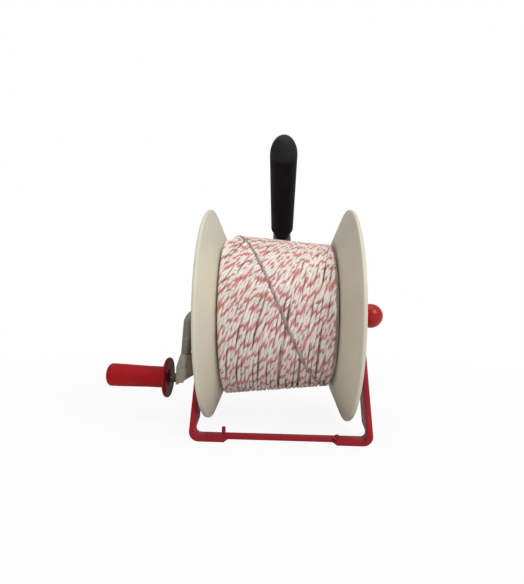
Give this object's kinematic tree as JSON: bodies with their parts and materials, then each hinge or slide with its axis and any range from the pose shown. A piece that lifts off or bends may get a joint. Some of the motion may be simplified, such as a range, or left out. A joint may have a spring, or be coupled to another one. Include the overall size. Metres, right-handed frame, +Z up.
{
  "type": "electric fence reel",
  "caption": "Hand-cranked electric fence reel: flared cream drum wound with polywire on a red steel stand, with a bent crank and turning grip, a ball brake knob and a black carrying grip.",
  "frame": {"origin": "on the ground under the middle of the whole reel's box", "axes": "+X along the axle away from the crank, +Y to the rear where the handle's crossbar is, +Z up"},
  "size_m": [0.2986, 0.2213, 0.2922],
  "materials": {
    "red_paint": "glossy red paint on steel strip",
    "red_plastic": "moulded red plastic, slightly glossy",
    "zinc": "zinc-plated steel, drawn along its length",
    "cream_plastic": "cream moulded plastic, satin",
    "polywire": "white braided polywire with a red tracer",
    "black_rubber": "black rubber, satin",
    "steel": "plain bright steel fasteners",
    "nylon": "off-white nylon"
  },
  "bodies": {
    "frame": {"stand_strap": "red_paint", "left_rear_plate": "red_paint", "right_rear_plate": "red_paint", "rear_crossbar": "red_paint", "frame_bolts": "steel", "frame_nuts": "steel", "axle_bushes": "nylon", "handle_stem": "zinc", "stem_bolts": "steel", "stem_nuts": "steel", "hand_grip": "black_rubber", "wire_pegs": "red_paint", "brake_washer": "black_rubber"},
    "drum": {"axle_crank": "zinc", "drum_barrel": "cream_plastic", "left_flange": "cream_plastic", "right_flange": "cream_plastic", "flange_screws": "steel", "drive_pin": "steel", "wire_core": "polywire", "wire_winding": "polywire", "crank_bracket": "zinc", "bracket_rivet": "zinc", "crank_spindle": "steel", "spindle_nut": "steel"},
    "crank_grip": {"crank_grip": "red_plastic", "crank_grip_cap": "red_plastic"},
    "brake_knob": {"brake_knob": "red_plastic", "knob_insert": "steel"}
  },
  "joints": [
    {"name": "drum_spin", "type": "hinge", "parent": "frame", "child": "drum", "pos_m": [0.03823, 0, 0.116], "axis": [1, 0, 0], "continuous": true},
    {"name": "crank_grip_spin", "type": "hinge", "parent": "drum", "child": "crank_grip", "pos_m": [-0.11175, 0, 0.04612], "axis": [0.9996, 0, -0.0279], "continuous": true},
    {"name": "brake_knob_turn", "type": "hinge", "parent": "drum", "child": "brake_knob", "pos_m": [0.13635, 0, 0.116], "axis": [1, 0, 0], "range_deg": [-90, 0]}
  ]
}
